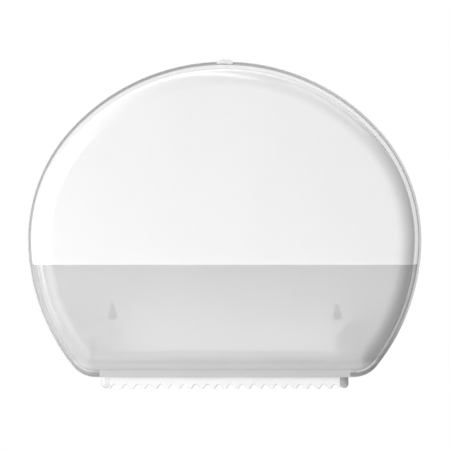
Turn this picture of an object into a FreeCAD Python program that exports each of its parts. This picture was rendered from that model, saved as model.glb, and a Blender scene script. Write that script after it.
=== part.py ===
import FreeCAD, Part
import math
import os
import Sketcher

# Wall dispenser for jumbo toilet rolls: a tray on the wall, a hinged cover with a window, a push lock,
# two roll hubs and a toothed paper outlet. Millimetres and degrees. The origin is the middle of the wall
# screw pattern, on the wall. x runs to the right seen from the front, the front faces -y, z is up.

SIZES = (
    # outline of the tray: an arch of a crown and two shoulders over two flanks that lean in to a flat floor
    ("body_width", 437),
    ("arch_rise", 197),
    ("lower_height", 153.5),
    ("waist_drop", 15.5),
    ("shoulder_angle", 48),
    ("flank_radius", 225),
    ("corner_radius", 33),
    ("overall_depth", 133),
    # cover: a drafted shell, narrower at the front than at its rear edge
    ("reveal", 4),
    ("draft_inset", 8.8),
    ("edge_radius", 20),
    ("cover_wall", 2.6),
    ("seam_drop", 43.2),
    ("cover_gap", 0.4),
    ("skirt_lift", 4),
    # tray: a plate with a hollow rim around it
    ("tray_depth", 20),
    ("plate_wall", 3),
    ("rim_wall", 2.5),
    ("rim_width", 9),
    ("rim_taper", 3.5),
    ("rim_round", 0.5),
    ("rib_wall", 2),
    ("rib_height", 4),
    ("rib_offset", 88),
    ("rib_top", 112),
    ("rib_level", 64),
    # wall fixings: two plain holes above, two keyholes below
    ("fixing_span", 250),
    ("fixing_rise", 180),
    ("slot_radius", 2.75),
    ("keyhole_radius", 5.2),
    ("keyhole_drop", 10.5),
    # paper outlet and tear bar
    ("outlet_margin", 8),
    ("outlet_wall", 3),
    ("outlet_setback", 28),
    ("outlet_drop", 9),
    ("outlet_height", 36),
    ("outlet_corner", 12),
    ("outlet_toe", 5.5),
    ("bar_margin", 10),
    ("bar_wall", 3),
    ("tooth_depth", 5.6),
    ("tooth_flat", 1.8),
    ("valley_flat", 2.6),
    ("tooth_lean", 1.6),
    ("end_land", 5),
    # hinge at the bottom rear, and its two brackets
    ("hinge_clear", 14),
    ("hinge_lift", 11),
    ("pin_radius", 2.5),
    ("bush_wall", 1.5),
    ("ear_width", 4),
    ("ear_round", 5),
    ("lug_width", 6.4),
    ("lug_round", 6.5),
    ("bracket_lead", 15),
    ("bracket_height", 44),
    ("bracket_round", 42),
    ("bracket_depth", 41),
    ("bracket_wall", 2.5),
    ("bracket_inset", 18),
    # push lock in the crown of the tray
    ("button_width", 18),
    ("button_depth", 9),
    ("button_proud", 2.2),
    ("button_edge", 0.3),
    ("button_ridge", 2.5),
    ("press_travel", 4),
    ("shoulder_width", 24),
    ("slider_height", 22),
    ("latch_bite", 3),
    ("latch_wall", 4),
    ("catch_reach", 11),
    ("catch_setback", 4),
    ("catch_wall", 3),
    ("lock_wall", 3),
    ("lock_tab", 10),
    ("spring_room", 14),
    ("spring_radius", 3.2),
    ("spring_wire", 0.8),
    # roll hubs on fixed spindles
    ("main_offset", 50),
    ("stub_margin", 78.5),
    ("hub_level", 12),
    ("hub_setback", 28.5),
    ("core_radius", 27),
    ("hub_wall", 2.5),
    ("hub_flange_radius", 45),
    ("hub_flange", 3),
    ("hub_nose", 8),
    ("spindle_radius", 9),
    ("spindle_foot_radius", 24),
    ("spindle_foot", 4),
    ("boss_height", 5),
    ("sleeve_wall", 3),
    ("hub_bush_wall", 3),
    ("hub_bush_length", 12),
    ("retainer_radius", 15),
    ("retainer_wall", 4),
    ("foot_screw_circle", 19.5),
    ("brake_wall", 0.8),
    ("brake_width", 10),
    ("brake_reach", 36),
    ("brake_tab", 16),
    ("brake_pad", 8),
    # fasteners and fits
    ("screw_radius", 1.6),
    ("head_radius", 2.8),
    ("head_height", 2),
    ("recess_width", 0.9),
    ("recess_length", 3.4),
    ("recess_depth", 1.1),
    ("tip_cover", 0.6),
    ("running_fit", 0.05),
    ("free_gap", 0.3),
    ("side_gap", 0.6),
    ("swing_gap", 2),
    ("overrun", 12),
)
TOOTH_COUNT = 19
FOOT_SCREWS = 3
SPRING_TURNS = 4

doc = FreeCAD.newDocument("jumbo_roll_dispenser")
sheet = doc.addObject("Spreadsheet::Sheet", "Sizes")
for row, (alias, number) in enumerate(SIZES, 1):
    sheet.set(f"A{row}", alias)
    sheet.set(f"B{row}", str(number))
    sheet.setAlias(f"B{row}", alias)
doc.recompute()


class Size:
    """A number together with the sheet expression that gives it, so that sums of sizes stay bound."""

    def __init__(self, value, text):
        self.value = value
        self.text = text

    def __add__(self, other):
        other = as_size(other)
        return Size(self.value + other.value, f"({self.text} + {other.text})")

    def __sub__(self, other):
        other = as_size(other)
        return Size(self.value - other.value, f"({self.text} - {other.text})")

    def __mul__(self, other):
        other = as_size(other)
        return Size(self.value * other.value, f"({self.text} * {other.text})")

    def __truediv__(self, other):
        other = as_size(other)
        return Size(self.value / other.value, f"({self.text} / {other.text})")

    def __rsub__(self, other):
        return as_size(other) - self

    def __neg__(self):
        return Size(-self.value, f"(0 - {self.text})")

    __radd__ = __add__
    __rmul__ = __mul__


def as_size(value):
    return value if isinstance(value, Size) else Size(value, str(value))


def root(size):
    return Size(math.sqrt(size.value), f"sqrt({size.text})")


def given(alias):
    return Size(float(sheet.get(alias)), f"Sizes.{alias}")


def bind(thing, path, size):
    thing.setExpression(path, as_size(size).text)


def place(thing, x, y, z):
    for axis, size in zip("xyz", (x, y, z)):
        bind(thing, f"Placement.Base.{axis}", size)


# Solids from primitives. "out" is always a distance from the wall towards the front.


def box(label, x, out, z):
    """A block between two x, two distances from the wall and two z."""
    block = doc.addObject("Part::Box", label)
    low_x, high_x, near, far, low_z, high_z = (as_size(size) for size in (*x, *out, *z))
    bind(block, "Length", high_x - low_x)
    bind(block, "Width", far - near)
    bind(block, "Height", high_z - low_z)
    place(block, low_x, -far, low_z)
    return block


def rod(label, radius, length, turn, x, y, z):
    cylinder = doc.addObject("Part::Cylinder", label)
    cylinder.Placement = FreeCAD.Placement(FreeCAD.Vector(), turn)
    bind(cylinder, "Radius", radius)
    bind(cylinder, "Height", length)
    place(cylinder, x, y, z)
    return cylinder


def rod_out(label, radius, x, z, near, far):
    """A rod that stands out from the wall."""
    towards_front = FreeCAD.Rotation(FreeCAD.Vector(1, 0, 0), 90)
    return rod(label, radius, as_size(far) - near, towards_front, x, -as_size(near), z)


def rod_across(label, radius, out, z, left, right):
    to_the_right = FreeCAD.Rotation(FreeCAD.Vector(0, 1, 0), 90)
    return rod(label, radius, as_size(right) - left, to_the_right, left, -as_size(out), z)


def fuse(label, *parts):
    whole = doc.addObject("Part::MultiFuse", label)
    whole.Shapes = list(parts)
    return whole


def cut(label, base, *tools):
    rest = doc.addObject("Part::Cut", label)
    rest.Base = base
    rest.Tool = tools[0] if len(tools) == 1 else fuse(f"{label}_tools", *tools)
    return rest


def common(label, base, tool):
    shared = doc.addObject("Part::Common", label)
    shared.Base = base
    shared.Tool = tool
    return shared


def group(label, *parts):
    together = doc.addObject("Part::Compound", label)
    together.Links = list(parts)
    return together


def mirrored(label, source):
    """The same piece on the other side of the middle."""
    twin = doc.addObject("Part::Mirroring", label)
    twin.Source = source
    twin.Normal = FreeCAD.Vector(1, 0, 0)
    return twin


def pair(label, right):
    return group(label, right, mirrored(f"{label}_left", right))


# Bodies with sketches.


def sketch_on(body, role, name, offset=0):
    """A sketch on one of the body's origin planes, moved along the plane's normal."""
    sketch = body.newObject("Sketcher::SketchObject", name)
    plane = next(feature for feature in body.Origin.OriginFeatures if feature.Role == role)
    sketch.AttachmentSupport = [(plane, "")]
    sketch.MapMode = "FlatFace"
    bind(sketch, "AttachmentOffset.Base.z", offset)
    return sketch


def dimension(sketch, name, size, *constraint):
    value = math.radians(size.value) if constraint[0] == "Angle" else size.value
    index = sketch.addConstraint(Sketcher.Constraint(*constraint, value))
    sketch.renameConstraint(index, name)
    bind(sketch, f"Constraints.{name}", size)


def polygon(sketch, points):
    """A closed outline whose corners are all held by dimensions from the sketch's origin."""
    corners = [tuple(as_size(size) for size in point) for point in points]
    flat = [FreeCAD.Vector(across.value, up.value, 0) for across, up in corners]
    for start, end in zip(flat, flat[1:] + flat[:1]):
        sketch.addGeometry(Part.LineSegment(start, end))
    count = len(corners)
    for index, (across, up) in enumerate(corners):
        following = (index + 1) % count
        sketch.addConstraint(Sketcher.Constraint("Coincident", index, 2, following, 1))
        for axis, kind, line, size in (("x", "DistanceX", -2, across), ("y", "DistanceY", -1, up)):
            if size.value == 0:
                sketch.addConstraint(Sketcher.Constraint("PointOnObject", index, 1, line))
            else:
                dimension(sketch, f"corner_{index}_{axis}", size, kind, -1, 1, index, 1)


def feature(body, kind, name, profile, **settings):
    """Adds a sketch-based feature to the body. Settings that are sizes get bound to the sheet."""
    made = body.newObject(f"PartDesign::{kind}", name)
    made.Profile = profile
    for key, value in settings.items():
        if isinstance(value, Size):
            bind(made, key, value)
        else:
            setattr(made, key, value)
    doc.recompute()
    return made


def round_edges(body, name, base, radius, chosen):
    """Fillets the edges that the test picks."""
    edges = [f"Edge{number}" for number, edge in enumerate(base.Shape.Edges, 1) if chosen(edge)]
    rounding = body.newObject("PartDesign::Fillet", name)
    rounding.Base = (base, edges)
    bind(rounding, "Radius", radius)
    doc.recompute()
    return rounding


def turned(label, profile, x, z):
    """A piece turned about an axis that stands out from the wall. Points are (radius, distance out)."""
    body = doc.addObject("PartDesign::Body", label)
    sketch = sketch_on(body, "XZ_Plane", f"{label}_profile")
    polygon(sketch, profile)
    feature(body, "Revolution", f"{label}_turn", sketch, ReferenceAxis=(sketch, ["V_Axis"]), Angle=360)
    body.Placement = FreeCAD.Placement(FreeCAD.Vector(), FreeCAD.Rotation(FreeCAD.Vector(1, 0, 0), 90))
    place(body, x, 0, z)
    return body


size = {alias: given(alias) for alias, _ in SIZES}

half_width = size["body_width"] / 2
waist = -size["waist_drop"]
crown = waist + size["arch_rise"]
floor = waist - size["lower_height"]
flank_radius = size["flank_radius"]
corner_radius = size["corner_radius"]
wall = size["cover_wall"]
free_gap = size["free_gap"]
running_fit = size["running_fit"]

# The flat of the floor ends where the corner arcs begin.
corner_sine = (size["lower_height"] - corner_radius) / (flank_radius - corner_radius)
corner_cosine = root(1 - corner_sine * corner_sine)
floor_half = half_width - flank_radius + (flank_radius - corner_radius) * corner_cosine


def arch_outline(sketch, inset):
    """Tray outline, moved inwards by the inset.

    Crown, shoulders, flanks and corners are arcs that meet tangent, about the same centres for every inset.
    """
    angle = math.radians(size["shoulder_angle"].value)
    sine, cosine = math.sin(angle), math.cos(angle)
    half = half_width - inset
    rise = size["arch_rise"] - inset
    flank = flank_radius - inset
    corner = corner_radius - inset
    level = waist.value
    low = floor + inset

    crown_radius = (half.value * cosine - (1 - sine) * rise.value) / (sine + cosine - 1)
    shoulder_radius = (sine * rise.value - (1 - cosine) * half.value) / (sine + cosine - 1)
    lean = math.asin(corner_sine.value)
    corner_x = half.value - flank.value + (flank.value - corner.value) * math.cos(lean)
    quarter = math.pi / 2

    def arc(x, z, radius, start, end):
        circle = Part.Circle(FreeCAD.Vector(x, z, 0), FreeCAD.Vector(0, 0, 1), radius)
        return sketch.addGeometry(Part.ArcOfCircle(circle, start, end))

    def line(start, end, construction=False):
        segment = Part.LineSegment(FreeCAD.Vector(*start, 0), FreeCAD.Vector(*end, 0))
        return sketch.addGeometry(segment, construction)

    top_centre = level + rise.value - crown_radius
    right_corner = arc(corner_x, low.value + corner.value, corner.value, -quarter, -lean)
    right_flank = arc(half.value - flank.value, level, flank.value, -lean, 0)
    right_shoulder = arc(half.value - shoulder_radius, level, shoulder_radius, 0, quarter - angle)
    top = arc(0, top_centre, crown_radius, quarter - angle, quarter + angle)
    left_shoulder = arc(shoulder_radius - half.value, level, shoulder_radius, quarter + angle, math.pi)
    left_flank = arc(flank.value - half.value, level, flank.value, math.pi, math.pi + lean)
    left_corner = arc(-corner_x, low.value + corner.value, corner.value, math.pi + lean, 3 * quarter)
    bottom = line((-corner_x, low.value), (corner_x, low.value))
    loop = [right_corner, right_flank, right_shoulder, top, left_shoulder, left_flank, left_corner, bottom]

    meeting = (crown_radius * sine, top_centre + crown_radius * cosine)
    spoke = line((0, top_centre), meeting, True)
    apex = sketch.addGeometry(Part.Point(FreeCAD.Vector(0, level + rise.value, 0)), True)
    start, end, centre, origin, upright = 1, 2, 3, -1, -2
    rules = [("Tangent", here, end, after, start) for here, after in zip(loop, loop[1:] + loop[:1])]
    rules += [
        ("Coincident", spoke, start, top, centre),
        ("Coincident", spoke, end, top, start),
        ("PointOnObject", top, centre, upright),
        ("PointOnObject", apex, start, upright),
        ("PointOnObject", apex, start, top),
        ("Horizontal", right_shoulder, centre, right_shoulder, start),
        ("Symmetric", right_shoulder, start, left_shoulder, end, upright),
        ("Horizontal", left_shoulder, centre, left_shoulder, end),
        ("Equal", right_flank, left_flank),
        ("Equal", right_corner, left_corner),
        ("Horizontal", bottom),
    ]
    sketch.addConstraint([Sketcher.Constraint(*rule) for rule in rules])
    tag = f"ring_{right_corner}"
    dimension(sketch, f"{tag}_shoulder", 90 - size["shoulder_angle"], "Angle", spoke)
    dimension(sketch, f"{tag}_half_width", half, "DistanceX", origin, start, right_shoulder, start)
    dimension(sketch, f"{tag}_waist", waist, "DistanceY", origin, start, right_shoulder, start)
    dimension(sketch, f"{tag}_apex", waist + rise, "DistanceY", origin, start, apex, start)
    dimension(sketch, f"{tag}_flank", flank, "Radius", right_flank)
    dimension(sketch, f"{tag}_corner", corner, "Radius", right_corner)
    dimension(sketch, f"{tag}_floor", low, "DistanceY", origin, start, bottom, start)


# Cover: the outer form and the hollow in it are the same form, one a wall inside the other.

cover_rear = size["tray_depth"] + size["cover_gap"]
draft = size["draft_inset"] / (size["overall_depth"] - cover_rear)


def cover_form(label, depth_in):
    """Drafted block with a rounded front edge, its skin moved inwards by depth_in."""
    body = doc.addObject("PartDesign::Body", label)
    face = size["overall_depth"] - depth_in
    rear = sketch_on(body, "XZ_Plane", f"{label}_rear", cover_rear)
    arch_outline(rear, size["reveal"] + depth_in)
    front = sketch_on(body, "XZ_Plane", f"{label}_front", face)
    arch_outline(front, size["reveal"] + draft * (face - cover_rear) + depth_in)
    block = feature(body, "AdditiveLoft", f"{label}_block", rear, Sections=[(front, "")], Ruled=True)
    round_edges(
        body,
        f"{label}_edge",
        block,
        size["edge_radius"] - depth_in,
        lambda edge: all(abs(vertex.Y + face.value) < 0.001 for vertex in edge.Vertexes),
    )
    return body


cover_outer = cover_form("cover_outer", as_size(0))
cover_inner = cover_form("cover_inner", wall)
cover_skin = cut("cover_skin", cover_outer, cover_inner)

seam = -size["seam_drop"]
cover_floor = floor + size["reveal"]
cover_crown = crown - size["reveal"]
beyond = size["overrun"]
across = (-half_width, half_width)
above_seam = box("above_seam", across, (0, size["overall_depth"] + beyond), (seam, crown + beyond))
below_seam = box("below_seam", across, (0, size["overall_depth"] + beyond), (floor - beyond, seam))

# The catch is a rib under the crown of the cover, which the latch holds from the front.
catch_near = cover_rear + size["catch_setback"]
catch_far = catch_near + size["catch_wall"]
catch_low = cover_crown - wall - size["catch_reach"]
button_half = size["button_width"] / 2
catch_block = box("catch_block", (-button_half, button_half), (catch_near, catch_far), (catch_low, crown))
catch_rib = common("catch_rib", catch_block, cover_outer)
cover_shell = fuse("cover_shell", common("cover_upper", cover_skin, above_seam), catch_rib)

# Hinge line, and what turns on it.
hinge_out = size["tray_depth"] + size["hinge_clear"]
hinge_level = cover_floor + size["hinge_lift"]
outlet_half = floor_half - size["outlet_margin"]
ear_near = outlet_half + size["swing_gap"]
lug_near = ear_near + size["ear_width"] + size["side_gap"]
lug_far = lug_near + size["lug_width"]
ear_far = lug_far + size["side_gap"]
bracket_end = ear_far + size["ear_width"]
bush_radius = size["pin_radius"] + running_fit + size["bush_wall"]

# Outlet and tear bar stay inside the circle that the lip of the cover swings through.
outlet_front = size["overall_depth"] - size["outlet_setback"]
bar_front = outlet_front + size["bar_wall"]
outlet_low = floor - size["outlet_drop"]
outlet_top = outlet_low + size["outlet_height"]
tip_reach = bar_front - hinge_out
tip_drop = hinge_level - outlet_low
lip = hinge_out + root(tip_reach * tip_reach + tip_drop * tip_drop) + size["swing_gap"]

cover_lower = common("cover_lower", cover_skin, below_seam)
gap_half = outlet_half + size["swing_gap"] / 2
outlet_gap = box("outlet_gap", (-gap_half, gap_half), (0, lip), (floor - beyond, hinge_level))
# A skirt hangs from the front edge of the gap and covers the root of the tear bar.
lip_level = cover_floor + draft * (lip - cover_rear)
skirt = box(
    "skirt",
    (-gap_half, gap_half),
    (lip, lip + wall),
    (floor + size["skirt_lift"], lip_level + wall / 2),
)
relief_far = hinge_out - size["lug_round"]
hinge_relief = box("hinge_relief", across, (0, relief_far), (floor - beyond, hinge_level + wall))
lug_out = (hinge_out - size["lug_round"], hinge_out + size["lug_round"])
lug_block = fuse(
    "lug_block",
    box("lug_foot", (lug_near, lug_far), lug_out, (floor, hinge_level)),
    rod_across("lug_eye", size["lug_round"], hinge_out, hinge_level, lug_near, lug_far),
)
lug = common("lug", lug_block, cover_outer)
lug_bore = rod_across("lug_bore", bush_radius, hinge_out, hinge_level, lug_near - 1, lug_far + 1)
cover_window = cut(
    "cover_window",
    fuse("window_blank", cut("window_cut", cover_lower, outlet_gap, hinge_relief), skirt, pair("lugs", lug)),
    pair("lug_bores", lug_bore),
)

pin_bore_radius = size["pin_radius"] + running_fit
bush_blank = rod_across("bush_blank", bush_radius, hinge_out, hinge_level, lug_near, lug_far)
bush_bore = rod_across("bush_bore", pin_bore_radius, hinge_out, hinge_level, lug_near - 1, lug_far + 1)
hinge_bushes = pair("hinge_bushes", cut("hinge_bush", bush_blank, bush_bore))
hinge_pin = rod_across("hinge_pin", size["pin_radius"], hinge_out, hinge_level, ear_near, bracket_end)
hinge_pins = pair("hinge_pins", hinge_pin)


# Screws all stand out from the wall: a flat head with a cross recess on a plain shank.


def screw(label, x, z, seat, tip):
    """One screw whose head sits at the distance seat from the wall and whose shank ends at tip."""
    top = seat + size["head_height"]
    head = rod_out(f"{label}_head", size["head_radius"], x, z, seat, top)
    shank = rod_out(f"{label}_shank", size["screw_radius"], x, z, tip, top)
    deep = (top - size["recess_depth"], top + 1)
    long, narrow = size["recess_length"] / 2, size["recess_width"] / 2
    level = box(f"{label}_level", (x - long, x + long), deep, (z - narrow, z + narrow))
    upright = box(f"{label}_upright", (x - narrow, x + narrow), deep, (z - long, z + long))
    return cut(label, fuse(f"{label}_blank", head, shank), level, upright)


def screws(label, places, seat, tip):
    made = [screw(f"{label}_{number}", x, z, seat, tip) for number, (x, z) in enumerate(places, 1)]
    return group(label, *made)


screw_tip = size["tip_cover"]

# Hinge brackets: a curved guide wall on a base, with two ears that hold the pin.

bracket_low = outlet_top + free_gap
bracket_high = bracket_low + size["bracket_height"]
bracket_near = outlet_half - size["bracket_lead"]
plate_face = size["plate_wall"]
bracket_face = plate_face + size["bracket_depth"]
base_face = plate_face + size["bracket_wall"]


def guide_block(label, depth_in, near):
    """Block with its inner upper corner rounded, its skin moved inwards by depth_in."""
    left, top = bracket_near + depth_in, bracket_high - depth_in
    radius = size["bracket_round"] - depth_in
    depth = (near, bracket_face)
    return fuse(
        label,
        box(f"{label}_low", (left, half_width), depth, (bracket_low, top - radius)),
        box(f"{label}_high", (left + radius, half_width), depth, (bracket_low, top)),
        rod_out(f"{label}_round", radius, left + radius, top - radius, near, bracket_face),
    )


def ear(label, near):
    """Plate of the bracket that comes down to the pin, narrow enough for the cover to swing past."""
    sides = (near, near + size["ear_width"])
    hang = (hinge_out - size["ear_round"], hinge_out + size["ear_round"])
    return fuse(
        label,
        box(f"{label}_web", sides, (plate_face, hang[1]), (bracket_low, bracket_low + size["bracket_lead"])),
        box(f"{label}_drop", sides, hang, (hinge_level, bracket_low + 1)),
        rod_across(f"{label}_eye", size["ear_round"], hinge_out, hinge_level, *sides),
    )


bracket_limit = doc.addObject("PartDesign::Body", "bracket_limit")
limit_outline = sketch_on(bracket_limit, "XZ_Plane", "bracket_limit_outline")
arch_outline(limit_outline, size["bracket_inset"])
feature(bracket_limit, "Pad", "bracket_limit_pad", limit_outline, Length=size["overall_depth"])

below_bracket = box("below_bracket", across, (0, bracket_face + 1), (floor - beyond, bracket_low))
guide_wall = cut(
    "guide_wall",
    common("guide_outer", guide_block("guide_blank", as_size(0), plate_face), bracket_limit),
    guide_block("guide_hollow", size["bracket_wall"], base_face),
    below_bracket,
)
bracket_screw_x = bracket_near + size["bracket_round"] - size["head_radius"]
bracket_screw_places = [
    (bracket_screw_x, bracket_high - 3 * size["head_radius"]),
    (bracket_screw_x - size["bracket_lead"], bracket_low + 2 * size["bracket_lead"]),
]
right_screws = screws("right_bracket_screws", bracket_screw_places, base_face, screw_tip)
bracket_screws = pair("bracket_screws", right_screws)
right_hinge_bracket = cut(
    "right_hinge_bracket",
    fuse("bracket_blank", guide_wall, ear("inner_ear", ear_near), ear("outer_ear", ear_far)),
    hinge_pin,
    right_screws,
)
left_hinge_bracket = mirrored("left_hinge_bracket", right_hinge_bracket)

# Outlet: a collar with rounded toes, open above and below for the paper.

outlet_rear = plate_face
outlet_frame_body = doc.addObject("PartDesign::Body", "outlet_frame_body")
toe = size["outlet_toe"]
outlet_front_view = sketch_on(outlet_frame_body, "XZ_Plane", "outlet_front_view", outlet_rear)
polygon(
    outlet_front_view,
    [
        (-outlet_half, outlet_low),
        (outlet_half, outlet_low),
        (outlet_half, outlet_top),
        (-outlet_half, outlet_top),
    ],
)
outlet_block = feature(
    outlet_frame_body, "Pad", "outlet_block", outlet_front_view, Length=outlet_front - outlet_rear
)


def runs_along(edge, axis):
    """Whether a straight edge runs along the axis: 0 for x, 1 for y, 2 for z."""
    ends = [vertex.Point for vertex in edge.Vertexes]
    if len(ends) < 2 or edge.Curve.TypeId != "Part::GeomLine":
        return False
    return abs((ends[1] - ends[0]).normalize()[axis]) > 0.999


toes = round_edges(
    outlet_frame_body,
    "outlet_toes",
    outlet_block,
    toe,
    lambda edge: runs_along(edge, 1) and edge.CenterOfMass.z < (outlet_low.value + outlet_top.value) / 2,
)
corners = round_edges(
    outlet_frame_body,
    "outlet_corners",
    toes,
    size["outlet_corner"],
    lambda edge: runs_along(edge, 2) and edge.CenterOfMass.y < -outlet_front.value / 2,
)
outlet_plan = sketch_on(outlet_frame_body, "XY_Plane", "outlet_plan", outlet_top)
throat_half = outlet_half - size["outlet_wall"]
throat_front = outlet_front - size["outlet_wall"]
throat_rear = outlet_rear + size["outlet_wall"]
throat_corner = size["outlet_corner"] - size["outlet_wall"]
polygon(
    outlet_plan,
    [
        (-throat_half, -throat_rear),
        (-throat_half, -throat_front + throat_corner),
        (-throat_half + throat_corner, -throat_front),
        (throat_half - throat_corner, -throat_front),
        (throat_half, -throat_front + throat_corner),
        (throat_half, -throat_rear),
    ],
)
throat = feature(outlet_frame_body, "Pocket", "outlet_throat", outlet_plan, Type="ThroughAll")

bar_half = outlet_half - size["bar_margin"]
tooth_root = outlet_low + size["tooth_depth"]
teeth_window = box(
    "teeth_window",
    (-bar_half, bar_half),
    (throat_front - throat_corner, outlet_front + 1),
    (outlet_low - 1, tooth_root + size["tooth_lean"]),
)
rear_window = box(
    "rear_window",
    across,
    (0, hinge_out - size["ear_round"]),
    (outlet_low - 1, cover_floor),
)
outlet_screw_z = outlet_top - 2 * size["head_radius"]
outlet_screw_places = [
    (-outlet_half / 2, outlet_screw_z),
    (as_size(0), outlet_screw_z),
    (outlet_half / 2, outlet_screw_z),
]
outlet_screws = screws("outlet_screws", outlet_screw_places, throat_rear, screw_tip)

# Tear bar: a plate whose lower edge is cut by leaning notches, so that each tooth shows two flanks.

tear_bar_body = doc.addObject("PartDesign::Body", "tear_bar_body")
bar_view = sketch_on(tear_bar_body, "XZ_Plane", "bar_view", outlet_front)
polygon(
    bar_view,
    [(-bar_half, outlet_low), (bar_half, outlet_low), (bar_half, outlet_top), (-bar_half, outlet_top)],
)
feature(tear_bar_body, "Pad", "bar_plate", bar_view, Length=size["bar_wall"])
toothed_half = bar_half - size["end_land"]
tooth_pitch = 2 * toothed_half / TOOTH_COUNT
notch_half = (tooth_pitch - size["tooth_flat"]) / 2
notch_view = sketch_on(tear_bar_body, "XZ_Plane", "notch_view", bar_front)
valley_half = size["valley_flat"] / 2
notch_steepness = size["tooth_depth"] / (notch_half - valley_half)
notch_foot = outlet_low - size["tooth_lean"]
foot_half = notch_half + size["tooth_lean"] / notch_steepness
polygon(
    notch_view,
    [
        (-toothed_half - foot_half, notch_foot),
        (-toothed_half + foot_half, notch_foot),
        (-toothed_half + valley_half, tooth_root),
        (-toothed_half - valley_half, tooth_root),
    ],
)
notch = feature(
    tear_bar_body,
    "Pocket",
    "notch",
    notch_view,
    Type="ThroughAll",
    UseCustomVector=True,
    Direction=FreeCAD.Vector(0, size["bar_wall"].value, -size["tooth_lean"].value),
)
bind(notch, "Direction.y", size["bar_wall"])
bind(notch, "Direction.z", -size["tooth_lean"])
notches = tear_bar_body.newObject("PartDesign::LinearPattern", "notches")
notches.Originals = [notch]
notches.Direction = (notch_view, ["H_Axis"])
bind(notches, "Length", 2 * toothed_half)
notches.Occurrences = TOOTH_COUNT + 1
tear_bar_body.Tip = notches
bar_screw_z = outlet_top - 2 * size["head_radius"]
bar_screw_places = [(-bar_half * 3 / 4, bar_screw_z), (bar_half * 3 / 4, bar_screw_z)]
tear_bar_screws = screws("tear_bar_screws", bar_screw_places, bar_front, throat_front + screw_tip)
tear_bar = cut("tear_bar", tear_bar_body, tear_bar_screws)
outlet_frame = cut(
    "outlet_frame", outlet_frame_body, teeth_window, rear_window, outlet_screws, tear_bar_screws
)

# Roll hubs. Each turns on two bushes on a fixed spindle and is kept on by a screwed retainer.

boss_face = plate_face + size["boss_height"]
foot_face = boss_face + size["spindle_foot"]
hub_rear = foot_face + free_gap
hub_front = size["overall_depth"] - size["hub_setback"]
spindle_end = hub_front + free_gap
retainer_face = spindle_end + size["retainer_wall"]
spindle_radius = size["spindle_radius"]
bush_bore_radius = spindle_radius + running_fit
sleeve_bore = bush_bore_radius + size["hub_bush_wall"]
sleeve_radius = sleeve_bore + size["sleeve_wall"]
core_radius = size["core_radius"]
drum_bore = core_radius - size["hub_wall"]
spigot_radius = core_radius - size["hub_wall"] / 2
flange_front = hub_rear + size["hub_flange"]
web_rear = hub_front - size["hub_nose"]
nose_radius = core_radius - size["hub_nose"] / 2


def roll_spindle(name, hub_name, x, z):
    """Spindle, its screws, the retainer with its screw, the hub, its flange and its two bushes."""
    foot_profile = [
        (0, boss_face),
        (size["spindle_foot_radius"], boss_face),
        (size["spindle_foot_radius"], foot_face),
        (spindle_radius, foot_face),
        (spindle_radius, spindle_end),
        (0, spindle_end),
    ]
    places = []
    for number in range(FOOT_SCREWS):
        angle = 2 * math.pi * number / FOOT_SCREWS + math.pi / 2
        reach = size["foot_screw_circle"]
        places.append((x + reach * round(math.cos(angle), 6), z + reach * round(math.sin(angle), 6)))
    foot_screws = screws(f"{name}_spindle_screws", places, foot_face, screw_tip)
    retainer_profile = [
        (0, spindle_end),
        (size["retainer_radius"], spindle_end),
        (size["retainer_radius"], retainer_face - size["hub_wall"] / 2),
        (size["retainer_radius"] - size["hub_wall"], retainer_face),
        (0, retainer_face),
    ]
    retainer_tip = spindle_end - size["hub_bush_length"]
    retainer_screw = screws(f"{name}_retainer_screw", [(x, z)], retainer_face, retainer_tip)
    spindle_blank = turned(f"{name}_spindle_blank", foot_profile, x, z)
    retainer_blank = turned(f"{name}_retainer_blank", retainer_profile, x, z)
    hub_profile = [
        (sleeve_bore, hub_rear),
        (sleeve_radius, hub_rear),
        (sleeve_radius, web_rear),
        (drum_bore, web_rear),
        (drum_bore, hub_rear),
        (spigot_radius, hub_rear),
        (spigot_radius, flange_front),
        (core_radius, flange_front),
        (core_radius, web_rear),
        (nose_radius, hub_front),
        (sleeve_bore, hub_front),
    ]
    flange_profile = [
        (spigot_radius, hub_rear),
        (size["hub_flange_radius"], hub_rear),
        (size["hub_flange_radius"], flange_front),
        (spigot_radius, flange_front),
    ]
    bushes = []
    for end, near in (("rear", hub_rear), ("front", hub_front - size["hub_bush_length"])):
        far = near + size["hub_bush_length"]
        ring = [(bush_bore_radius, near), (sleeve_bore, near), (sleeve_bore, far), (bush_bore_radius, far)]
        bushes.append(turned(f"{hub_name}_{end}_bush", ring, x, z))
    return [
        cut(f"{name}_spindle", spindle_blank, foot_screws, retainer_screw),
        foot_screws,
        cut(f"{name}_retainer", retainer_blank, retainer_screw),
        retainer_screw,
        turned(hub_name, hub_profile, x, z),
        turned(f"{hub_name}_flange", flange_profile, x, z),
        group(f"{hub_name}_bushes", *bushes),
    ]


main_x = -size["main_offset"]
stub_x = half_width - size["stub_margin"]
hub_level = size["hub_level"]
main_roll = roll_spindle("main", "roll_hub", main_x, hub_level)
stub_roll = roll_spindle("stub", "stub_hub", stub_x, hub_level)

# Brake: a bent leaf on the plate that presses on the rear of the main hub's flange.

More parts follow.
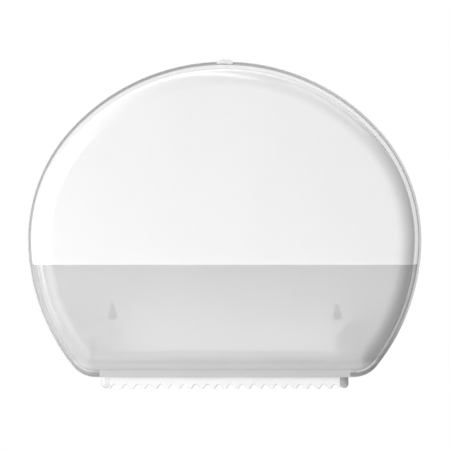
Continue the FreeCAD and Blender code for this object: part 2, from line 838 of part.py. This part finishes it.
brake_body = doc.addObject("PartDesign::Body", "brake_body")
brake_profile = sketch_on(brake_body, "XY_Plane", "brake_profile")
brake_wall = size["brake_wall"]
pad_face = hub_rear - free_gap
pad_end = size["brake_reach"] + size["brake_pad"]
ramp_end = pad_end + size["brake_pad"]
brake_end = ramp_end + size["brake_tab"]
tab_face = plate_face + brake_wall
polygon(
    brake_profile,
    [
        (size["brake_reach"], pad_face - brake_wall),
        (pad_end, pad_face - brake_wall),
        (ramp_end, plate_face),
        (brake_end, plate_face),
        (brake_end, tab_face),
        (ramp_end + brake_wall / 2, tab_face),
        (pad_end + brake_wall / 2, pad_face),
        (size["brake_reach"], pad_face),
    ],
)
feature(brake_body, "Pad", "brake_leaf", brake_profile, Length=size["brake_width"])
brake_body.Placement = FreeCAD.Placement(FreeCAD.Vector(), FreeCAD.Rotation(FreeCAD.Vector(1, 0, 0), 180))
place(brake_body, main_x, 0, hub_level + size["brake_width"] / 2)
brake_screw_x = main_x + brake_end - size["brake_tab"] / 2
brake_screw = screws("brake_screw", [(brake_screw_x, hub_level)], tab_face, screw_tip)
brake_spring = cut("brake_spring", brake_body, brake_screw)

# The rim of the tray tapers towards the front.

taper = size["rim_taper"] / size["tray_depth"]


def tapered_block(label, depth_in, height):
    """Block as high as asked that tapers with the rim, its skin moved inwards by depth_in."""
    body = doc.addObject("PartDesign::Body", label)
    rear = sketch_on(body, "XZ_Plane", f"{label}_rear")
    arch_outline(rear, as_size(depth_in))
    front = sketch_on(body, "XZ_Plane", f"{label}_front", height)
    arch_outline(front, depth_in + taper * height)
    return body, feature(body, "AdditiveLoft", f"{label}_block", rear, Sections=[(front, "")], Ruled=True)


# Lock: the button stands through the crown of the rim and pushes a slider down; its hook lets the catch go.

rim_inside = crown - size["rim_width"]
button_mid = size["tray_depth"] / 2
button_out = (button_mid - size["button_depth"] / 2, button_mid + size["button_depth"] / 2)
slider_top = rim_inside - free_gap - size["side_gap"]
slider_low = slider_top - size["slider_height"]
slider_half = size["shoulder_width"] / 2
arm_half = button_half - size["lock_wall"]
arm_top = catch_low - size["press_travel"] - free_gap
hook_near = catch_far + free_gap
hook_far = hook_near + size["latch_wall"]
hook_top = catch_low + size["latch_bite"]
button_top = crown + size["button_proud"]
button_bulge = size["button_proud"] - size["button_edge"]
button_arc = (button_half * button_half + button_bulge * button_bulge) / (2 * button_bulge)
ridge_out = (button_out[0], button_out[0] + size["button_ridge"])
button_skin, _ = tapered_block("button_skin", -size["button_edge"], size["tray_depth"])
button_blank = fuse(
    "button_blank",
    common(
        "button_flush",
        box("button_block", (-button_half, button_half), button_out, (slider_top, button_top)),
        button_skin,
    ),
    common(
        "button_ridge",
        box("ridge_block", (-button_half, button_half), ridge_out, (slider_top, button_top)),
        rod_out("button_crown", button_arc, 0, button_top - button_arc, *ridge_out),
    ),
)
key_slot = box(
    "key_slot",
    (-button_half / 2, button_half / 2),
    (button_mid - size["recess_width"], button_mid + size["recess_width"]),
    (crown - size["rim_taper"], button_top + 1),
)
lock_button = cut("lock_button", button_blank, key_slot)
latch_slider = fuse(
    "latch_slider",
    box("slider_block", (-slider_half, slider_half), button_out, (slider_low, slider_top)),
    box("latch_arm", (-arm_half, arm_half), (button_mid, hook_far), (arm_top - size["latch_wall"], arm_top)),
    box("latch_hook", (-arm_half, arm_half), (hook_near, hook_far), (arm_top - size["latch_wall"], hook_top)),
)

lock_half = slider_half + free_gap + size["lock_wall"]
lock_front = button_out[1] + free_gap + size["lock_wall"]
lock_floor = slider_low - size["spring_room"]
lock_low = lock_floor - size["lock_wall"]
lock_top = slider_top - size["latch_wall"]
lock_block = box("lock_block", (-lock_half, lock_half), (plate_face, lock_front), (lock_low, lock_top))
tab_half = lock_half + size["lock_tab"]
tab_high = lock_low + size["lock_tab"]
lock_tabs = box("lock_tabs", (-tab_half, tab_half), (plate_face, base_face), (lock_low, tab_high))
lock_well = box(
    "lock_well",
    (-slider_half - free_gap, slider_half + free_gap),
    (button_out[0] - free_gap, button_out[1] + free_gap),
    (lock_floor, lock_top + 1),
)
arm_slot_half = arm_half + free_gap
arm_low = arm_top - size["latch_wall"] - size["press_travel"] - free_gap
arm_slot = box(
    "arm_slot", (-arm_slot_half, arm_slot_half), (button_mid, lock_front + 1), (arm_low, lock_top + 1)
)
lock_screw_x = lock_half + size["lock_tab"] / 2
lock_screw_z = lock_low + size["lock_tab"] / 2
lock_screw_places = [(-lock_screw_x, lock_screw_z), (lock_screw_x, lock_screw_z)]
lock_screws = screws("lock_screws", lock_screw_places, base_face, screw_tip)
lock_housing = cut(
    "lock_housing", fuse("lock_blank", lock_block, lock_tabs), lock_well, arm_slot, lock_screws
)


def biarc(start, start_way, end, end_way):
    """Two arcs in space that leave start and reach end along the given unit directions."""
    span = end - start
    ways = start_way + end_way
    square = 2 * (1 - start_way.dot(end_way))
    linear = 2 * span.dot(ways)
    reach = (-linear + math.sqrt(linear * linear + 4 * square * span.dot(span))) / (2 * square)
    first = start + start_way * reach
    last = end - end_way * reach
    joint = (first + last) * 0.5
    edges = []
    for here, knee, there in ((start, first, joint), (joint, last, end)):
        middle = (here + there) * 0.5
        rise = knee - middle
        half_chord = (there - here).Length / 2
        bulge = half_chord * math.tan(math.atan(rise.Length / half_chord) / 2)
        edges.append(Part.Arc(here, middle + rise.normalize() * bulge, there).toShape())
    return edges


def coil(label, radius, wire, height, turns, middle):
    """Compression spring: one wire swept along half turns of a helix that rises from the middle point."""
    steps = 2 * turns
    climb = (height - wire) / steps

    def point(step):
        angle = step * math.pi
        offset = FreeCAD.Vector(radius * math.cos(angle), radius * math.sin(angle), wire / 2 + climb * step)
        return middle + offset

    def way(step):
        angle = step * math.pi
        along = FreeCAD.Vector(-math.sin(angle), math.cos(angle), climb / (radius * math.pi))
        return along.normalize()

    edges = []
    for step in range(steps):
        edges += biarc(point(step), way(step), point(step + 1), way(step + 1))
    spine = Part.Wire(edges)
    section = Part.Wire([Part.Circle(point(0), way(0), wire / 2).toShape()])
    spring = doc.addObject("Part::Feature", label)
    spring.Shape = spine.makePipeShell([section], True, False)
    print(f"least gap between turns of {label}: {2 * climb - wire:.2f} mm")
    return spring


spring_place = FreeCAD.Vector(0, -button_mid.value, lock_floor.value)
lock_spring = coil(
    "lock_spring",
    size["spring_radius"].value,
    size["spring_wire"].value,
    size["spring_room"].value,
    SPRING_TURNS,
    spring_place,
)

# Tray: a plate inside a tapered rim that is hollow from behind, with bosses and ribs in front.

tray_body, tray_block = tapered_block("tray_body", as_size(0), size["tray_depth"])
tray_rounding = round_edges(
    tray_body,
    "tray_rounding",
    tray_block,
    size["rim_round"],
    lambda edge: all(abs(vertex.Y + size["tray_depth"].value) < 0.001 for vertex in edge.Vertexes),
)
hollow_outline = sketch_on(tray_body, "XZ_Plane", "hollow_outline", size["tray_depth"])
arch_outline(hollow_outline, size["rim_width"])
feature(tray_body, "Pocket", "tray_hollow", hollow_outline, Length=size["tray_depth"] - size["plate_wall"])
channel_depth = size["tray_depth"] - size["rim_wall"]
channel_outer, _ = tapered_block("channel_outer", size["rim_wall"], channel_depth)
channel_inner = doc.addObject("PartDesign::Body", "channel_inner")
channel_outline = sketch_on(channel_inner, "XZ_Plane", "channel_outline")
arch_outline(channel_outline, size["rim_width"] - size["rim_wall"])
feature(channel_inner, "Pad", "channel_post", channel_outline, Length=channel_depth)
rim_channel = cut("rim_channel", channel_outer, channel_inner)

plate_back = plate_face / 2
rib_face = plate_face + size["rib_height"]
rib_half = size["rib_wall"] / 2
rib_low = seam + size["rim_width"]
rib_high = size["rib_top"]
rib_end = half_width - size["rib_offset"] / 2
upright_rib = box(
    "upright_rib",
    (size["rib_offset"] - rib_half, size["rib_offset"] + rib_half),
    (plate_back, rib_face),
    (rib_low, rib_high),
)
level_rib = box(
    "level_rib",
    (-rib_end, rib_end),
    (plate_back, rib_face),
    (size["rib_level"] - rib_half, size["rib_level"] + rib_half),
)
boss_radius = size["spindle_foot_radius"]
tray_blank = fuse(
    "tray_blank",
    tray_body,
    pair("upright_ribs", upright_rib),
    level_rib,
    rod_out("main_boss", boss_radius, main_x, hub_level, plate_back, boss_face),
    rod_out("stub_boss", boss_radius, stub_x, hub_level, plate_back, boss_face),
)

fixing_x = size["fixing_span"] / 2
fixing_z = size["fixing_rise"] / 2
entry_z = -fixing_z - size["keyhole_drop"]
slot_radius = size["slot_radius"]
through = (-1, plate_face + 1)
keyhole = fuse(
    "keyhole",
    rod_out("keyhole_entry", size["keyhole_radius"], fixing_x, entry_z, *through),
    rod_out("keyhole_seat", slot_radius, fixing_x, -fixing_z, *through),
    box("keyhole_slot", (fixing_x - slot_radius, fixing_x + slot_radius), through, (entry_z, -fixing_z)),
)
upper_hole = rod_out("upper_hole", slot_radius, fixing_x, fixing_z, *through)
notch_half_width = outlet_half + size["side_gap"]
rim_notch = box(
    "rim_notch",
    (-notch_half_width, notch_half_width),
    (-1, size["tray_depth"] + 1),
    (floor - 1, floor + size["rim_width"]),
)
button_gap = size["free_gap"]
button_hole = box(
    "button_hole",
    (-button_half - button_gap, button_half + button_gap),
    (button_out[0] - button_gap, button_out[1] + button_gap),
    (rim_inside - 1, crown + 1),
)
back_housing = cut(
    "back_housing",
    tray_blank,
    rim_channel,
    pair("keyholes", keyhole),
    pair("upper_holes", upper_hole),
    rim_notch,
    button_hole,
    bracket_screws,
    outlet_screws,
    lock_screws,
    main_roll[1],
    stub_roll[1],
    brake_screw,
)

doc.recompute()

pieces = [
    back_housing,
    outlet_frame,
    outlet_screws,
    tear_bar,
    tear_bar_screws,
    left_hinge_bracket,
    right_hinge_bracket,
    bracket_screws,
    hinge_pins,
    hinge_bushes,
    cover_shell,
    cover_window,
    lock_button,
    latch_slider,
    lock_housing,
    lock_screws,
    lock_spring,
    brake_spring,
    brake_screw,
    *main_roll,
    *stub_roll,
]
for thing in doc.Objects:
    if "Invalid" in thing.State or "Error" in thing.State:
        raise RuntimeError(f"{thing.Label} did not build")
os.makedirs("parts", exist_ok=True)
for piece in pieces:
    if piece.Shape.isNull() or not piece.Shape.isValid() or not piece.Shape.Solids:
        raise RuntimeError(f"{piece.Label} has no valid shape")
    piece.Shape.exportStep(f"parts/{piece.Label}.step")
    print(f"{piece.Label}: {len(piece.Shape.Solids)} solid(s), {piece.Shape.Volume / 1000:.2f} cm3")
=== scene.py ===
import math

import bmesh
import bpy
from mathutils import Matrix, Vector


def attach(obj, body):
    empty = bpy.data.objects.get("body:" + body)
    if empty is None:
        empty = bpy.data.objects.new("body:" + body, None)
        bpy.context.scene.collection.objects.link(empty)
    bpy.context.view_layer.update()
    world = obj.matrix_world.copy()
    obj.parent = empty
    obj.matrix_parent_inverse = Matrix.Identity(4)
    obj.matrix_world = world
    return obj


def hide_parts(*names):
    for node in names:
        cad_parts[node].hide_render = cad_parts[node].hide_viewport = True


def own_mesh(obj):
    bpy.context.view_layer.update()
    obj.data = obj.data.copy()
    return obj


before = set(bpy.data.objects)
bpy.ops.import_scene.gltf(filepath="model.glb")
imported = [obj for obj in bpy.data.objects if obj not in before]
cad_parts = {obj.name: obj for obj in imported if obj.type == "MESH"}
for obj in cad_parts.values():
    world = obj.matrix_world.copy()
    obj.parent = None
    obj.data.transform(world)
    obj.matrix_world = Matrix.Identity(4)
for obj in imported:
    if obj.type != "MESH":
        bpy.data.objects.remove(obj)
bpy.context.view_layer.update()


# Tray: the large white moulding that is screwed to the wall. A flat plate inside a hollow rim, with bosses
# for the spindles, low ribs and keyholes. Moulded in glossy plastic, with painted shade on the rim and on
# the fittings.

class Wire:
    """A socket in a material's node tree. Sums and products of such values add Math nodes to the tree."""

    def __init__(self, tree, socket=None):
        self.tree = tree
        self.socket = socket

    def node(self, kind, settings, sockets, output=0):
        """Adds a node: its settings first, then the values or links of its sockets."""
        made = self.tree.nodes.new(kind)
        for key, value in settings.items():
            setattr(made, key, value)
        for key, value in sockets.items():
            if isinstance(value, Wire):
                self.tree.links.new(value.socket, made.inputs[key])
            else:
                made.inputs[key].default_value = value
        return Wire(self.tree, made.outputs[output] if made.outputs else None)

    def maths(self, operation, first, second):
        return self.node("ShaderNodeMath", {"operation": operation}, {0: first, 1: second})

    def __add__(self, other):
        return self.maths("ADD", self, other)

    def __sub__(self, other):
        return self.maths("SUBTRACT", self, other)

    def __rsub__(self, other):
        return self.maths("SUBTRACT", other, self)

    def __mul__(self, other):
        return self.maths("MULTIPLY", self, other)

    __radd__ = __add__
    __rmul__ = __mul__

    def clouds(self, scale, detail=2.0, stretch=(1, 1, 1)):
        """Soft noise between 0 and 1 over this place, finer for a larger scale."""
        pulled = self.node("ShaderNodeMapping", {}, {"Vector": self, "Scale": stretch})
        sockets = {"Vector": pulled, "Scale": scale, "Detail": detail}
        return self.node("ShaderNodeTexNoise", {}, sockets, "Fac")

    def between(self, low, high):
        """A colour from low to high, chosen by this value."""
        return self.node("ShaderNodeMix", {"data_type": "RGBA"}, {0: self, 6: (*low, 1), 7: (*high, 1)}, 2)

    def along(self, axis):
        """How far this place is along one axis."""
        return self.node("ShaderNodeSeparateXYZ", {}, {0: self}, axis)

    def ramp(self, start, end):
        """0 where this value is at the start, 1 at the end, and smooth between them."""
        sockets = {"Value": self, "From Min": start, "From Max": end}
        return self.node("ShaderNodeMapRange", {"interpolation_type": "SMOOTHSTEP"}, sockets)

    def raised(self, distance, strength):
        """Bump from this height."""
        sockets = {"Height": self, "Distance": distance, "Strength": strength}
        return self.node("ShaderNodeBump", {}, sockets, "Normal")


def new_finish(name):
    """An empty material and the object coordinates that its pattern reads."""
    material = bpy.data.materials.new(name)
    material.use_nodes = True
    material.node_tree.nodes.clear()
    place = Wire(material.node_tree).node("ShaderNodeTexCoord", {}, {}, "Object")
    return material, place


def close_finish(place, **sockets):
    """Gives the material its shader, with the sockets named in lower case."""
    named = {key.replace("_", " ").title(): value for key, value in sockets.items()}
    shader = place.node("ShaderNodeBsdfPrincipled", {}, named)
    place.node("ShaderNodeOutputMaterial", {}, {"Surface": shader})


def moulded_plastic(name, tone, roughness, peel=0.05, grain=700, painted_light=None):
    """Plastic with faint flow marks, patchy gloss, fine peel, and painted shade or highlight by a plane if
    asked.
    """
    material, place = new_finish(name)
    flow = place.clouds(14, 4, (1, 1, 0.25)) * 0.6 + place.clouds(160, 2) * 0.4
    patches = place.clouds(30, 3)
    skin = place.clouds(grain, 2)
    shade = flow * 0.055 + 0.945
    # Painted light: the tone is darker, or lighter for a negative loss, from the near to the far distance
    # from the plane.
    if painted_light:
        distance = place.maths("ABSOLUTE", place.along(painted_light["axis"]) - painted_light["centre"], 0)
        shade = shade * (1 - distance.ramp(painted_light["near"], painted_light["far"]) * painted_light["loss"])
    close_finish(
        place,
        base_color=shade.between((0, 0, 0), tone),
        roughness=patches * 0.1 + (roughness - 0.05),
        normal=skin.raised(0.0002, peel),
    )
    return material


def dress(material, *nodes):
    """Gives CAD nodes their finish."""
    for node in nodes:
        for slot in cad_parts[node].material_slots:
            slot.material = material


# Painted shade: the tray is darker everywhere but a thin slab at its plate, for the shade on its rim beside
# the cover and on its fittings.
painted_rim_shade = {"axis": "Y", "centre": -0.003, "near": 0.0004, "far": 0.0014, "loss": 0.55}
tray_white = moulded_plastic("tray_white", (0.9, 0.9, 0.9), roughness=0.22, painted_light=painted_rim_shade)
dress(tray_white, "back_housing")


# Paper outlet: a pale collar screwed to the tray, open above and below, with rounded toes and a lip for the
# tear bar. Moulded in plastic, with a little painted shade on its toes.

# Painted shade: the collar is a little darker at its toes, from about 128 mm out from the middle.
painted_toe_shade = {"axis": "X", "centre": 0.0, "near": 0.126, "far": 0.129, "loss": 0.13}
outlet_white = moulded_plastic(
    "outlet_white", (0.62, 0.62, 0.62), roughness=0.28, peel=0.06, painted_light=painted_toe_shade
)
dress(outlet_white, "outlet_frame")


# Tear bar: a white plate with a row of leaning teeth, screwed to the front of the collar. Harder plastic with
# a satin skin, with painted shade above its teeth, where it stands behind the window.

# Painted shade: the bar is darker above its teeth, where it stands behind the window.
painted_bar_shade = {"axis": "Z", "centre": -0.178, "near": 0.017, "far": 0.02, "loss": 0.3}
tear_bar_white = moulded_plastic(
    "tear_bar_white", (0.83, 0.83, 0.83), roughness=0.34, peel=0.06, painted_light=painted_bar_shade
)
dress(tear_bar_white, "tear_bar")


# Hinge brackets: pale grey plastic mouldings behind the window, screwed to the tray. Each has a curved wall
# that guides the paper and two ears for the hinge pin, on which the cover turns with a grey bush.

pale_grey = moulded_plastic("bracket_grey", (0.72, 0.72, 0.73), roughness=0.45, peel=0.1)
dress(pale_grey, "left_hinge_bracket", "right_hinge_bracket")
sliding_grey = moulded_plastic("sliding_grey", (0.5, 0.5, 0.51), roughness=0.5, peel=0.1)
dress(sliding_grey, "hinge_bushes")


# Cover: the upper shell is opaque gloss white, the lower window see-through smoke grey. Both are moulded
# with the same draft and welded along a level seam.

# Painted highlight: the shell is a little lighter within 6 mm of the seam.
painted_seam_highlight = {"axis": "Z", "centre": -0.043, "near": 0.006, "far": 0.0, "loss": -0.05}
cover_white = moulded_plastic(
    "cover_white", (0.825, 0.825, 0.825), roughness=0.18, peel=0.02, grain=500, painted_light=painted_seam_highlight
)
dress(cover_white, "cover_shell")


def smoke_plastic(name, tone, lip_painted_shade_tone, roughness, cover, lip_cover, lip):
    """See-through plastic, nearly closed along its thick lower lip, with painted shade on the lip and where
    it turns.
    """
    material, place = new_finish(name)
    flow = place.clouds(10, 3, (1, 1, 0.3))
    patches = place.clouds(25, 3)
    skin = place.clouds(400, 2)
    near_lip = place.along("Z").ramp(lip[1], lip[0])
    turned = place.node("ShaderNodeLayerWeight", {}, {"Blend": 0.5}, "Facing")
    # Painted shade: a dark band on the rounded edges, strongest where they turn halfway away, and none on the
    # lip.
    painted_edge_shade = turned * (1 - turned) * (1 - turned) * (1 - near_lip) * 1.2
    # Painted shade: the lip takes a darker tone, for the shade along the bottom edge.
    shade = near_lip * (lip_painted_shade_tone - tone) + tone - painted_edge_shade
    close_finish(
        place,
        base_color=(flow * 0.05 + shade).between((0, 0, 0), (1, 1, 1)),
        roughness=patches * 0.08 + (roughness - 0.04),
        alpha=near_lip * (lip_cover - cover) + cover,
        normal=skin.raised(0.0002, 0.02),
    )
    return material


window_smoke = smoke_plastic(
    "window_smoke",
    tone=0.79,
    lip_painted_shade_tone=0.54,
    roughness=0.1,
    cover=0.44,
    lip_cover=0.85,
    lip=(-0.154, -0.144),
)
dress(window_smoke, "cover_window")


# Lock: a light grey plastic button in the crown of the tray, on a grey slider with a hook. The slider runs in
# a housing that two screws hold to the tray.

dress(moulded_plastic("button_grey", (0.92, 0.92, 0.92), roughness=0.3), "lock_button")
dress(sliding_grey, "latch_slider")
dress(pale_grey, "lock_housing")


# Hubs: white plastic drums with a flange, which the roll cores slide on. They turn with grey bushes on grey
# spindles that are screwed to the tray, and a retainer with a screw keeps each one on.

hub_white = moulded_plastic("hub_white", (0.78, 0.78, 0.775), roughness=0.4, peel=0.08)
dress(hub_white, "roll_hub", "roll_hub_flange", "stub_hub", "stub_hub_flange")
spindle_grey = moulded_plastic("spindle_grey", (0.42, 0.42, 0.43), roughness=0.5, peel=0.1)
dress(spindle_grey, "main_spindle", "stub_spindle")
dress(sliding_grey, "main_retainer", "stub_retainer", "roll_hub_bushes", "stub_hub_bushes")


# Metal: zinc plated steel screws for all the fittings, ground steel hinge pins, and the bent spring leaf that
# brakes the roll.

def bright_steel(name, tone, roughness):
    """Plated steel with fine drawn lines and cloudy plating."""
    material, place = new_finish(name)
    drawn = place.clouds(300, 2, (1, 1, 12))
    cloudy = place.clouds(120, 3)
    close_finish(
        place,
        base_color=cloudy.between([0.85 * value for value in tone], tone),
        metallic=1.0,
        roughness=drawn * 0.2 + (roughness - 0.1),
        normal=drawn.raised(0.0001, 0.15),
    )
    return material


zinc = bright_steel("zinc_steel", (0.66, 0.66, 0.67), 0.34)
dress(zinc, "outlet_screws", "tear_bar_screws", "bracket_screws", "lock_screws", "brake_screw")
dress(zinc, "main_spindle_screws", "stub_spindle_screws", "main_retainer_screw", "stub_retainer_screw")
spring_finish = bright_steel("spring_steel", (0.56, 0.56, 0.57), 0.28)
dress(spring_finish, "brake_spring", "hinge_pins")


# Coil of the lock: one drawn steel wire, wound round and round between the floor of the lock housing and the
# slider. In the real lock it is pressed together as the button goes down; here it stays at rest with the
# housing.

coil_foot = (0, -0.01, 0.1356)
coil_radius = 0.0032
coil_height = 0.014
coil_turns = 4
wire_radius = 0.0004
steps_per_turn = 24

bm = bmesh.new()
bmesh.ops.create_circle(bm, segments=10, radius=wire_radius)
bmesh.ops.rotate(bm, verts=bm.verts, matrix=Matrix.Rotation(math.radians(90), 3, "X"))
bmesh.ops.translate(bm, verts=bm.verts, vec=(coil_radius, 0, wire_radius))
climb = (coil_height - 2 * wire_radius) / (coil_turns * steps_per_turn)
bmesh.ops.spin(
    bm,
    geom=bm.verts[:] + bm.edges[:],
    axis=(0, 0, 1),
    dvec=(0, 0, climb),
    angle=math.tau * coil_turns,
    steps=coil_turns * steps_per_turn,
)
bmesh.ops.holes_fill(bm, edges=[edge for edge in bm.edges if edge.is_boundary])
bmesh.ops.recalc_face_normals(bm, faces=bm.faces)
bmesh.ops.translate(bm, verts=bm.verts, vec=coil_foot)
for face in bm.faces:
    face.smooth = len(face.verts) == 4
coil_mesh = bpy.data.meshes.new("lock_coil")
bm.to_mesh(coil_mesh)
bm.free()
coil_mesh.materials.append(spring_finish)
coil = bpy.data.objects.new("lock_coil", coil_mesh)
bpy.context.scene.collection.objects.link(coil)
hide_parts("lock_spring")
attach(coil, "housing")
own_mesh(coil)


# Stage: a pale floor well below the dispenser, a white room that is painted black as shade where it is seen
# through the window, and nine soft lamps. The key lamp stands to the left of the camera. A strip overhead and
# one at the left draw the bright lines on the rounded edges.

def stage_plane(name, size, place):
    mesh = bpy.data.meshes.new(name)
    bm = bmesh.new()
    bmesh.ops.create_grid(bm, x_segments=1, y_segments=1, size=size / 2)
    bmesh.ops.translate(bm, verts=bm.verts, vec=place)
    bm.to_mesh(mesh)
    bm.free()
    plane = bpy.data.objects.new(name, mesh)
    bpy.context.scene.collection.objects.link(plane)
    return plane


floor = stage_plane("floor", 8.0, (0, 0, -0.7))
floor_finish, floor_place = new_finish("pale_floor")
floor_tone = floor_place.clouds(3, 3).between((0.7, 0.7, 0.7), (0.74, 0.74, 0.74))
painted = floor_place.node("ShaderNodeBsdfPrincipled", {}, {"Base Color": floor_tone, "Roughness": 0.8})
lit = floor_place.node("ShaderNodeEmission", {}, {"Color": (0.92, 0.92, 0.92, 1)})
share = floor_place.node("ShaderNodeLightPath", {}, {}, "Is Camera Ray") * 0.7
floor_mix = floor_place.node("ShaderNodeMixShader", {}, {0: share, 1: painted, 2: lit})
floor_place.node("ShaderNodeOutputMaterial", {}, {"Surface": floor_mix})
floor.data.materials.append(floor_finish)


def lamp(name, place, target, width, height, power):
    """A soft rectangular lamp that looks at the target."""
    light = bpy.data.lights.new(name, "AREA")
    light.shape = "RECTANGLE"
    light.size = width
    light.size_y = height
    light.energy = power
    holder = bpy.data.objects.new(name, light)
    bpy.context.scene.collection.objects.link(holder)
    holder.location = place
    holder.rotation_euler = (Vector(target) - Vector(place)).to_track_quat("-Z", "Y").to_euler()


middle = (0, -0.06, 0)
lamp("key_lamp", (-1.15, -1.5, 0.0), middle, width=1.4, height=1.4, power=21.5)
lamp("front_fill", (0.2, -3.0, 0.0), middle, width=2.4, height=2.0, power=15.2)
lamp("overhead", (-0.1, -0.1, 1.4), middle, width=1.8, height=0.2, power=7.5)
lamp("left_strip", (-1.1, -0.1, 0.0), middle, width=0.16, height=1.2, power=9)
lamp("right_fill", (0.8, -0.3, 1.2), middle, width=0.8, height=0.8, power=5.5)
lamp("floor_bounce", (0.0, -0.6, -0.65), middle, width=1.0, height=0.4, power=2.5)
lamp("left_back", (-1.17, 0.69, 0.1), middle, width=0.7, height=1.4, power=3)
lamp("top_back", (0.0, 0.72, 1.1), (0, -0.05, 0.18), width=2.2, height=0.6, power=8)
lamp("right_back", (0.83, 1.36, 0.0), (0.2, 0, 0), width=0.4, height=1.8, power=1.2)

world = bpy.data.worlds.new("white_room")
bpy.context.scene.world = world
world.use_nodes = True
world.node_tree.nodes.clear()
room = Wire(world.node_tree)
seen = room.node("ShaderNodeLightPath", {}, {}, "Is Camera Ray")
through = room.node("ShaderNodeLightPath", {}, {}, "Transparent Depth")
heading = room.node("ShaderNodeTexCoord", {}, {}, "Generated")
bright_side = (0.3, 1, -0.25)
dot = {"operation": "DOT_PRODUCT"}
behind = room.node("ShaderNodeVectorMath", dot, {0: heading, 1: bright_side}, "Value")
ranges = {"Value": behind, "From Min": 0.86, "From Max": 0.94, "To Min": 0.15, "To Max": 0.95}
brightness = room.node("ShaderNodeMapRange", {"interpolation_type": "SMOOTHSTEP"}, ranges)
glow = room.node("ShaderNodeBackground", {}, {"Color": (1, 1, 1, 1), "Strength": brightness})
# Painted shade: seen through the window, the backdrop is black, for the shade behind the tray.
shaded = room.node("ShaderNodeMapRange", {}, {"Value": through, "To Min": 1.0, "To Max": 0.0})
backdrop = room.node("ShaderNodeBackground", {}, {"Color": (1, 1, 1, 1), "Strength": shaded})
both = room.node("ShaderNodeMixShader", {}, {0: seen, 1: glow, 2: backdrop})
room.node("ShaderNodeOutputWorld", {}, {"Surface": both})

camera_distance = 5.0
sensor = 36.0
view_width = 0.4999
eye = bpy.data.cameras.new("camera")
eye.sensor_width = sensor
eye.lens = sensor * camera_distance / view_width
camera = bpy.data.objects.new("camera", eye)
bpy.context.scene.collection.objects.link(camera)
camera.location = (0.0002, -camera_distance, 0)
camera.rotation_euler = (math.radians(90), 0, 0)
bpy.context.scene.camera = camera
bpy.context.scene.view_settings.view_transform = "Standard"

bpy.context.view_layer.update()
